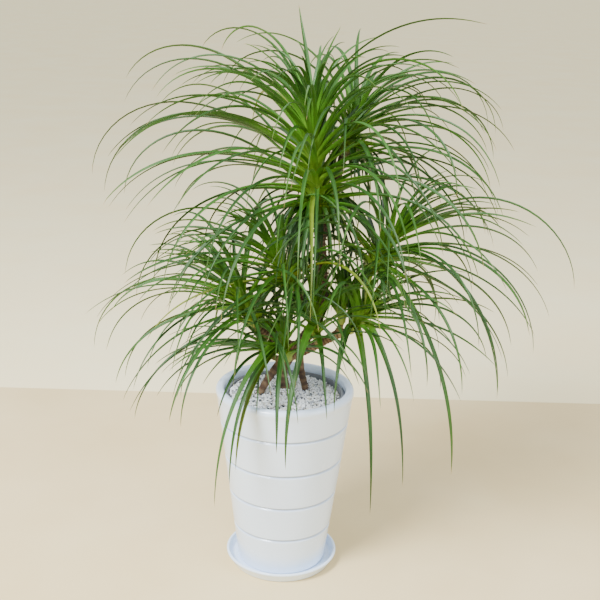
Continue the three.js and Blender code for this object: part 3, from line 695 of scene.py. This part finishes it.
def leaf_shape(crown, crown_index, leaf_index, attempt):
    """One leaf: its foot, heading and arch in radians, and its length and width."""
    draw = stream(crown_index, leaf_index, attempt)
    axis = crown["axis"]
    marked = len(crown["own"])
    bend, breadth = ARCH_POWER, 1
    if leaf_index < marked:
        up, heading, launch, tip, length, bend, *rest = crown["own"][leaf_index]
        breadth = rest[0] if rest else 1
        heading += (draw() - 0.5) * attempt * 5
        launch += (draw() - 0.5) * attempt * 3
        tip += (draw() - 0.5) * attempt * 3
    elif leaf_index >= marked + crown["leaves"] + crown["extra"]:
        up, heading, launch, tip = draw() * 0.16, 360 * draw(), mix(-55, 40, draw()), -88
        length, bend, breadth = crown["skirt_length"] * mix(0.4, 1, draw()), 0.7, 0.85
    else:
        place = leaf_index - marked
        up = (place + 0.5) / crown["leaves"]
        if place >= crown["leaves"]:
            place -= crown["leaves"]
            up = (place + 0.5) / crown["extra"]
            breadth = 0.8
        wander = 6 + attempt * 5
        turn = crown["spin"] + (place % 3) * 120 + place * 11 + (draw() - 0.5) * 2 * wander
        stand = mix(crown["open"], 10, up ** 1.1) + (draw() - 0.5) * (10 + attempt * 3)
        side, front = across(axis)
        radial = side * math.cos(turn * RAD) + front * math.sin(turn * RAD)
        start = axis * math.cos(stand * RAD) + radial * math.sin(stand * RAD)
        heading = math.atan2(start[1], start[0]) / RAD
        launch = math.asin(start[2]) / RAD
        tip = mix(crown["hang"], 5, up ** 2) + (draw() - 0.5) * 36
        tip = min(tip, launch - 12)
        fullness = math.sin(math.pi * mix(0.22, 0.9, up))
        length = mix(*crown["length"], fullness * 0.75 + draw() * 0.25)
        if up > 0.6:
            length *= mix(1, 0.5, (up - 0.6) / 0.4)
    drift = (draw() - 0.5) * (8 if leaf_index < marked else 30)
    outward = np.array((math.cos(heading * RAD), math.sin(heading * RAD), 0))
    outward = unit(outward - axis * outward.dot(axis))
    height = mix(4, crown["clad"], up)
    return {
        "foot": crown["base"] + axis * height + outward * crown["stem"] * mix(0.9, 0.35, up),
        "height": height, "outward": outward, "up": up, "marked": leaf_index < marked,
        "heading": heading * RAD, "drift": drift * RAD, "launch": launch * RAD, "tip": tip * RAD,
        "length": length, "bend": bend, "width": crown["width"] * breadth * mix(0.85, 1.1, draw()),
    }


def half_width(leaf, share):
    """Widest at the sheath, even along the middle, drawn out to a thread at the tip."""
    sheath = 0.2 * max(0, 1 - share / 0.12)
    return leaf["width"] * 0.5 * ((1 - share ** 2.8) * 0.94 + 0.06 + sheath)


def direction(heading, rise):
    return np.array((
        math.cos(rise) * math.cos(heading), math.cos(rise) * math.sin(heading), math.sin(rise),
    ))


def leaf_line(leaf, steps, pieces=4):
    """Stations along a leaf's middle as (point, side, along, half width)."""
    stations = []
    point = leaf["foot"].copy()
    turn_over = leaf["tip"] - leaf["launch"]
    reach = leaf["length"] / steps / pieces
    for i in range(steps + 1):
        share = i / steps
        heading = leaf["heading"] + leaf["drift"] * share
        rise = leaf["launch"] + turn_over * share ** leaf["bend"]
        side = np.array((-math.sin(heading), math.cos(heading), 0))
        stations.append((point.copy(), side, direction(heading, rise), half_width(leaf, share)))
        for k in range(pieces if i < steps else 0):
            middle = (i + (k + 0.5) / pieces) / steps
            pitch = leaf["launch"] + turn_over * middle ** leaf["bend"]
            point += reach * direction(leaf["heading"] + leaf["drift"] * middle, pitch)
    return stations


class Room:
    """What leaves must stay clear of: straight stretches with a half thickness and an owner."""

    def __init__(self, most):
        self.start = np.zeros((most, 3))
        self.end = np.zeros((most, 3))
        self.half = np.zeros(most)
        self.owner = np.zeros(most, int)
        self.count = 0

    def add(self, start, end, half, owner):
        k = self.count
        self.start[k], self.end[k], self.half[k], self.owner[k] = start, end, half, owner
        self.count += 1

    def gaps(self, a, b):
        """The least distance from the stretch a to b to each stretch held."""
        c, d = self.start[:self.count], self.end[:self.count]
        u, v, w = b - a, d - c, a - c
        uu, uv, vv = u @ u, v @ u, (v * v).sum(1)
        uw, vw = w @ u, (v * w).sum(1)
        slant = uu * vv - uv * uv
        s = np.where(slant > 1e-9, (uv * vw - vv * uw) / np.where(slant > 1e-9, slant, 1), 0).clip(0, 1)
        t = ((uv * s + vw) / vv).clip(0, 1)
        s = ((uv * t - uw) / uu).clip(0, 1)
        return np.linalg.norm(w + np.outer(s, u) - t[:, None] * v, axis=1)


def touches_pot(point, room):
    """True where a point with some room round it would touch the pot, its gravel or the floor."""
    radius = math.hypot(point[0], point[1])
    if point[2] < room + 4:
        return True
    if point[2] > POT_TOP + room:
        return False
    if radius < POT_RIM_RADIUS - POT_RIM_WIDTH - room:
        return point[2] < GRAVEL_TOP + room + 2
    return radius < pot_radius(point[2]) + room + 1.5


def is_clear(leaf, crown, crown_index, taken, extra=False):
    line = leaf_line(leaf, LEAF_STEPS)
    used = slice(0, taken.count)
    for i in range(LEAF_STEPS):
        start, end, half = line[i][0], line[i + 1][0], line[i][3]
        for share in (0.25, 0.5, 0.75, 1):
            if touches_pot(mix(start, end, share), half):
                return False
        if extra:
            close = taken.gaps(start, end) < 1.5 + taken.half[used] * (taken.owner[used] < 0)
        else:
            close = taken.gaps(start, end) < half + taken.half[used] + LEAF_CLEARANCE
        close &= taken.owner[used] != crown_index
        if i == 0:
            close &= np.linalg.norm(taken.end[used] - crown["base"], axis=1) >= 1
        if close.any():
            return False
    return True


def grow():
    """Places every crown's leaves, marked ones first, clear of the wood and of other crowns."""
    taken = Room(8000)
    wood = [*STILT_ROOTS.values(), *(crown["wood"] for crown in CROWNS)]
    for stations in wood:
        for a, b in zip(stations, stations[1:]):
            taken.add(a[:3], b[:3], max(a[3], b[3]), -1)
    for k, crown in enumerate(CROWNS):
        bud = crown["base"] + crown["axis"] * (crown["clad"] + 14)
        taken.add(crown["base"], bud, crown["stem"] + 6, k)
    grown = [[] for _ in CROWNS]
    for kind in ("marked", "ruled", "extra"):
        for k, crown in enumerate(CROWNS):
            marks = len(crown["own"])
            ruled = marks + crown["leaves"]
            spans = {
                "marked": range(marks), "ruled": range(marks, ruled),
                "extra": range(ruled, ruled + crown["extra"] + crown["skirt"]),
            }
            for leaf_index in spans[kind]:
                for attempt in range(LEAF_TRIES):
                    leaf = leaf_shape(crown, k, leaf_index, attempt)
                    if is_clear(leaf, crown, k, taken, kind == "extra"):
                        leaf["index"] = leaf_index
                        grown[k].append(leaf)
                        line = leaf_line(leaf, LEAF_STEPS)
                        for near, far in zip(line, line[1:]):
                            taken.add(near[0], far[0], near[3], k)
                        break
    return grown


# ---------- leaves ----------
ACROSS = (-1, -0.55, 0, 0.55, 1)  # places across a blade, as shares of its half width


def smooth(share):
    share = min(1, max(0, share))
    return share * share * (3 - 2 * share)


def blade_path(crown, leaf):
    """Stations from the clasping sheath to the tip, as (point, side, along, half width, curl, share):
    curl is 1 where the base is wrapped round the stem and 0 on the open blade."""
    line = leaf_line(leaf, BLADE_STEPS)
    stem = crown["stem"] * mix(1.0, 0.7, leaf["up"])
    sheath_length = mix(26, 14, leaf["up"])
    low = max(leaf["height"] - sheath_length, mix(-2, 4, leaf["up"]))
    start = crown["base"] + crown["axis"] * low + leaf["outward"] * (stem + 0.8)
    end, end_side, end_along, end_half = line[SHEATH_JOINT]
    handle = np.linalg.norm(end - start) * 0.42
    out = start + crown["axis"] * handle
    back = end - end_along * handle
    wrap_side = unit(np.cross(crown["axis"], leaf["outward"]))
    if wrap_side.dot(end_side) < 0:
        wrap_side = -wrap_side
    clasp = leaf["width"] * 0.5 * mix(1.9, 1.3, leaf["up"])
    path = []
    for i in range(SHEATH_STEPS):
        t = i / SHEATH_STEPS
        point = (1 - t) ** 3 * start + 3 * (1 - t) ** 2 * t * out
        point = point + 3 * (1 - t) * t * t * back + t ** 3 * end
        along = (1 - t) ** 2 * (out - start) + 2 * (1 - t) * t * (back - out) + t * t * (end - back)
        along = unit(along)
        side = mix(wrap_side, end_side, t)
        side = unit(side - along * side.dot(along))
        path.append((point, side, along, mix(clasp, end_half * 1.45, smooth(t)), 1 - smooth(t)))
    for k, (point, side, along, half) in enumerate(line[SHEATH_JOINT:]):
        broad = 1 + 0.45 * max(0, 1 - k * leaf["length"] / BLADE_STEPS / 70)
        path.append((point, side, along, half * broad, 0.0))
    walked = [0.0]
    for a, b in zip(path, path[1:]):
        walked.append(walked[-1] + np.linalg.norm(b[0] - a[0]))
    return [(*station, way / walked[-1]) for station, way in zip(path, walked)]


def blade_mesh(crown, crown_index, leaf):
    """Corners, faces and map of one thin closed leaf with a keel, a slight twist and a drawn-out tip."""
    draw = stream(crown_index, leaf["index"], BLADE_SEED)
    twist = (draw() - 0.5) * 110 * RAD
    fold = mix(24, 40, draw()) * RAD
    sway = mix(0.4, 2.2, draw())
    phase = draw() * 2 * math.pi
    corners, mapped = [], []
    path = blade_path(crown, leaf)
    wrap = crown["stem"] + 1.6
    for point, side, along, half, curl, share in path[:-1]:
        over = np.cross(along, side)
        turn = twist * smooth(share) * share
        side_now = side * math.cos(turn) + over * math.sin(turn)
        over_now = over * math.cos(turn) - side * math.sin(turn)
        centre = point + side_now * sway * math.sin(share * 7 + phase) * share
        raised = mix(fold, fold * 1.25, share)
        thick = 0.30 + 0.75 * (1 - share) + 0.5 * curl
        ring = []
        for q in ACROSS:
            angle = q * half / wrap
            x = mix(q * half * math.cos(raised), wrap * math.sin(angle), curl)
            y = mix(abs(q) ** 1.25 * half * math.sin(raised), wrap * (1 - math.cos(angle)), curl)
            ring.append((x, y, (q + 1) / 2))
        lower = [
            (x, y - thick * (1 - 0.4 * abs(q)), u) for q, (x, y, u) in zip(ACROSS[1:4], ring[1:4])
        ]
        for x, y, u in ring + lower[::-1]:
            corners.append(centre + side_now * x + over_now * y)
            mapped.append((u, share))
    size = 2 * len(ACROSS) - 2  # corners round a blade: all places above, the inner ones below
    faces = []
    last = (len(path) - 2) * size
    for low in range(0, last, size):
        faces += band(low, low + size, size)
    corners.append(path[-1][0] + path[-1][1] * sway * math.sin(7 + phase))
    mapped.append((0.5, 1.0))
    faces += [(last + j, last + (j + 1) % size, len(corners) - 1) for j in range(size)]
    faces += [(0, 7, 1), (1, 7, 6, 2), (2, 6, 5, 3), (3, 5, 4)]
    return corners, faces, mapped


def leaf_values(crown_index, leaf):
    """Tone, dryness of the tip and yellowing of one leaf. Young leaves are brighter."""
    draw = stream(crown_index, leaf["index"], VALUE_SEED)
    tone = mix(0.04, 0.55, leaf["up"] ** 1.4) + (draw() - 0.5) * 0.6
    dry = 1.0 if draw() < DRY_CHANCE else 0.25
    yellow = mix(0.4, 0.8, draw()) if draw() < YELLOW_CHANCE else 0.0
    return min(1, max(0, tone)), dry, yellow


def crown_core(crown):
    """The bud and inner sheaths that fill the middle of a crown, as stacked rings."""
    side, front = across(crown["axis"])
    clad = crown["clad"]
    levels = [(-6, 0.2), (-4, 1.02), (clad * 0.5, 0.95), (clad, 0.55), (clad + 22, 0.12)]
    corners = []
    sides = 12
    for height, share in levels:
        for j in range(sides):
            angle = j * 2 * math.pi / sides
            offset = (side * math.cos(angle) + front * math.sin(angle)) * crown["stem"] * share
            corners.append(crown["base"] + crown["axis"] * height + offset)
    return corners, stack_faces(len(levels), sides)


def crown_piece(crown, crown_index, leaves, material):
    corners, faces, mapped = [], [], []
    values = {"tone": [], "dry": [], "yellow": []}

    def put(new_corners, new_faces, new_mapped, tone, dry, yellow):
        start = len(corners)
        corners.extend(new_corners)
        faces.extend(tuple(start + c for c in face) for face in new_faces)
        mapped.extend(new_mapped)
        for name, value in (("tone", tone), ("dry", dry), ("yellow", yellow)):
            values[name].extend([value] * len(new_corners))

    core_corners, core_faces = crown_core(crown)
    put(core_corners, core_faces, [(0.3, 0.04)] * len(core_corners), 0.7, 0.0, 0.0)
    for leaf in leaves:
        put(*blade_mesh(crown, crown_index, leaf), *leaf_values(crown_index, leaf))
    title = crown["name"].replace("leaf_crown", "leaves")
    mesh = new_piece(title, corners, faces, material, "leaf", crown["name"]).data
    for name, numbers in values.items():
        put_values(mesh, name, numbers)
    corner_of = np.zeros(len(mesh.loops), int)
    mesh.loops.foreach_get("vertex_index", corner_of)
    mesh.uv_layers.new(name="blade").data.foreach_set("uv", np.array(mapped)[corner_of].ravel())
    mesh.set_sharp_from_angle(angle=80 * RAD)


# ---------- wood ----------
def smooth_line(stations, spacing=1.2):
    """Points with radii along a Catmull-Rom curve through stations, about spacing mm apart."""
    points = np.array(stations, float)
    before = 2 * points[0] - points[1]
    after = 2 * points[-1] - points[-2]
    padded = np.vstack([before, points, after])
    line = []
    for i in range(len(points) - 1):
        a, b, c, d = padded[i:i + 4]
        knots = np.cumsum([0] + [max(np.linalg.norm(q[:3] - p[:3]), 1e-3) ** 0.5
                                 for p, q in ((a, b), (b, c), (c, d))])
        steps = max(2, int(np.linalg.norm(c[:3] - b[:3]) / spacing))
        for k in range(steps):
            t = mix(knots[1], knots[2], k / steps)
            p = [a, b, c, d]
            for level in (1, 2, 3):
                p = [
                    (p[j] * (knots[j + level] - t) + p[j + 1] * (t - knots[j]))
                    / (knots[j + level] - knots[j])
                    for j in range(4 - level)
                ]
            line.append(p[0])
    line.append(points[-1])
    return np.array(line)


def tube(line, sides=20):
    """A closed round tube about a line of (x, y, z, radius)."""
    centres, radii = line[:, :3], line[:, 3]
    along = np.gradient(centres, axis=0)
    along /= np.linalg.norm(along, axis=1)[:, None]
    normal = unit(np.cross(along[0], (0.3, 0.9, 0.1)))
    corners = []
    for centre, radius, way in zip(centres, radii, along):
        normal = unit(normal - way * normal.dot(way))
        other = np.cross(way, normal)
        for j in range(sides):
            turn = j * 2 * math.pi / sides
            corners.append(centre + radius * (normal * math.cos(turn) + other * math.sin(turn)))
    return corners, stack_faces(len(line), sides)


def branch_stations(crown):
    """A crown's whole branch, with the stretch that its leaves hide."""
    hidden = [
        (*(crown["base"] + crown["axis"] * crown["clad"] * height), crown["stem"] * share)
        for height, share in ((0.4, 0.95), (0.8, 0.7))
    ]
    return [*crown["wood"], *hidden]


def wood_piece(material):
    """All wood as one skin, with raised rings where leaves once grew and roughness over all."""
    corners, faces = [], []
    centres, marks = [], []
    stretches = [(branch_stations(crown), crown["clad"] * 0.8) for crown in CROWNS]
    stretches += [(stations, None) for stations in STILT_ROOTS.values()]
    for stations, hidden in stretches:
        is_root = hidden is None
        line = smooth_line(stations)
        start = len(corners)
        part_corners, part_faces = tube(line)
        corners += part_corners
        faces += [tuple(start + c for c in face) for face in part_faces]
        steps = np.linalg.norm(np.diff(line[:, :3], axis=0), axis=1)
        walked = np.concatenate([[0], np.cumsum(steps)])
        for i, way in enumerate(walked):
            centres.append(line[i, :3])
            to_crown = FAR_FROM_CROWN if is_root else walked[-1] - way - hidden
            marks.append((way, to_crown, line[i, 3], is_root))
    rough = bpy.data.meshes.new("rough_wood")
    rough.from_pydata([tuple(c) for c in np.array(corners) * MM], [], faces)
    shell = bpy.data.objects.new("rough_wood", rough)
    bpy.context.scene.collection.objects.link(shell)
    skin = shell.modifiers.new("skin", "REMESH")
    skin.mode = "VOXEL"
    skin.voxel_size = WOOD_GRAIN * MM
    seen = shell.evaluated_get(bpy.context.evaluated_depsgraph_get())
    closed = bpy.data.meshes.new_from_object(seen)
    points = np.zeros(len(closed.vertices) * 3)
    closed.vertices.foreach_get("co", points)
    points = points.reshape(-1, 3) / MM
    faces = [tuple(p.vertices) for p in closed.polygons]
    bpy.data.objects.remove(shell)
    tree = KDTree(len(centres))
    for i, centre in enumerate(centres):
        tree.insert(centre, i)
    tree.balance()
    rings, young = np.zeros(len(points)), np.zeros(len(points))
    for i, point in enumerate(points):
        centre, index, away = tree.find(point)
        way, to_crown, radius, is_root = marks[index]
        centre = np.array(centre)
        outward = (point - centre) / max(away, 1e-6)
        wander = noise.noise(Vector(point) * 0.045) * 2.4 + noise.noise(Vector(point) * 0.2) * 0.5
        pitch = RING_PITCH * (2.0 if is_root else 1.0)
        phase = ((way + wander) / pitch) % 1.0
        ridge = math.exp(-(((phase - 0.5) / 0.2) ** 2))
        swell = RING_HEIGHT * (0.5 if is_root else 1.0) * (ridge - 0.35)
        lumps = noise.noise(Vector(point) * 0.11) * 0.7 + noise.noise(Vector(point) * 0.42) * 0.35
        points[i] = point + outward * (swell + lumps) * min(1.0, radius / 8)
        rings[i] = ridge
        young[i] = 1 - smooth((to_crown - 2) / GREEN_WOOD)
    piece = new_piece("bark_wood", points, faces, material, "bark", "stem_and_roots")
    put_values(piece.data, "ring", rings)
    put_values(piece.data, "young", young)


# ---------- setting ----------
def setting_look(name, dark, light):
    look = Look(name)
    look.set("Base Color", look.ramp(look.noise(3, 3), [(0.3, dark), (0.7, light)]))
    look.set("Roughness", look.span(look.noise(12, 3), 0.8, 0.95))
    look.set("Specular IOR Level", 0.0)
    return look.material


def plain_sheet(name, corners, material):
    mesh = bpy.data.meshes.new(name)
    mesh.from_pydata(corners, [], [(0, 1, 2, 3)])
    mesh.materials.append(material)
    sheet = bpy.data.objects.new(name, mesh)
    bpy.context.scene.collection.objects.link(sheet)


def area_light(name, location, size, power, colour):
    """A round soft light that points at the middle of the plant."""
    lamp = bpy.data.lights.new(name, "AREA")
    lamp.shape = "DISK"
    lamp.size = size
    lamp.energy = power
    lamp.color = colour
    light = bpy.data.objects.new(name, lamp)
    bpy.context.scene.collection.objects.link(light)
    light.location = location
    way = LIGHT_TARGET - light.location
    light.rotation_euler = way.to_track_quat("-Z", "Y").to_euler()


def light_and_camera():
    world = bpy.data.worlds.new("soft_room")
    world.use_nodes = True
    sky = world.node_tree.nodes["Background"]
    sky.inputs["Color"].default_value = (0.91, 0.96, 1.0, 1)
    sky.inputs["Strength"].default_value = 1.3
    bpy.context.scene.world = world
    area_light("key", (-1.5, -1.7, 2.6), 1.2, 260, (0.93, 0.97, 1.0))
    area_light("fill", (2.2, -1.4, 1.4), 1.8, 40, (0.86, 0.93, 1.0))
    floor = setting_look("pale_floor", (0.76, 0.58, 0.30), (0.82, 0.65, 0.36))
    far = setting_look("cream_floor", (1.0, 0.84, 0.50), (1.0, 0.88, 0.56))
    sheets = (("floor", -FLOOR_REACH, TAN_EDGE, floor), ("far_floor", TAN_EDGE, FLOOR_REACH, far))
    for name, low, high, material in sheets:
        corners = [(x, y, 0) for x, y in ((-1, low), (1, low), (1, high), (-1, high))]
        plain_sheet(name, [(x * FLOOR_REACH, y, z) for x, y, z in corners], material)
    lens = bpy.data.cameras.new("camera")
    lens.sensor_width = 36
    lens.lens = CAMERA_LENS
    camera = bpy.data.objects.new("camera", lens)
    bpy.context.scene.collection.objects.link(camera)
    camera.matrix_world = (
        Matrix.Translation(CAMERA_PLACE)
        @ Matrix.Rotation(CAMERA_TILT * RAD, 4, "X")
        @ Matrix.Rotation(CAMERA_ROLL * RAD, 4, "Z")
    )
    bpy.context.scene.camera = camera


# ---------- everything ----------
glaze = glaze_look()
saucer_piece(glaze)
pot_piece(glaze)
nursery_piece(plastic_look("grey_plastic", (0.10, 0.11, 0.125), (0.21, 0.22, 0.24), 0.5))
stones = [
    (0.0, (0.97, 0.98, 0.99)), (0.48, (0.84, 0.85, 0.87)), (0.64, (0.82, 0.80, 0.72)),
    (0.72, (0.40, 0.43, 0.48)), (0.82, (0.56, 0.53, 0.46)), (0.89, (0.07, 0.075, 0.09)),
]
gravel_bed(layer_look("gravel_shadow", (0.22, 0.21, 0.20), (0.60, 0.59, 0.57), 260.0))
pebbles(stone_look("pebbles", stones, 420))
wood_piece(bark_look())
leaf_material = leaf_look()
for index, (crown, leaves) in enumerate(zip(CROWNS, grow())):
    crown_piece(crown, index, leaves, leaf_material)
net = plastic_look("net_plastic", (0.012, 0.012, 0.014), (0.035, 0.035, 0.04), 0.55)
drain = layer_look("drainage_stone", (0.16, 0.13, 0.10), (0.42, 0.38, 0.32), 95.0)
hidden_looks = (
    ("drainage_net", net, "net_plastic"), ("drainage_stones", drain, "drainage_stone"),
    ("potting_soil", soil_look(), "soil"),
)
for name, material, slot in hidden_looks:
    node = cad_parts[name]
    node.data.materials.clear()
    node.data.materials.append(material)
light_and_camera()
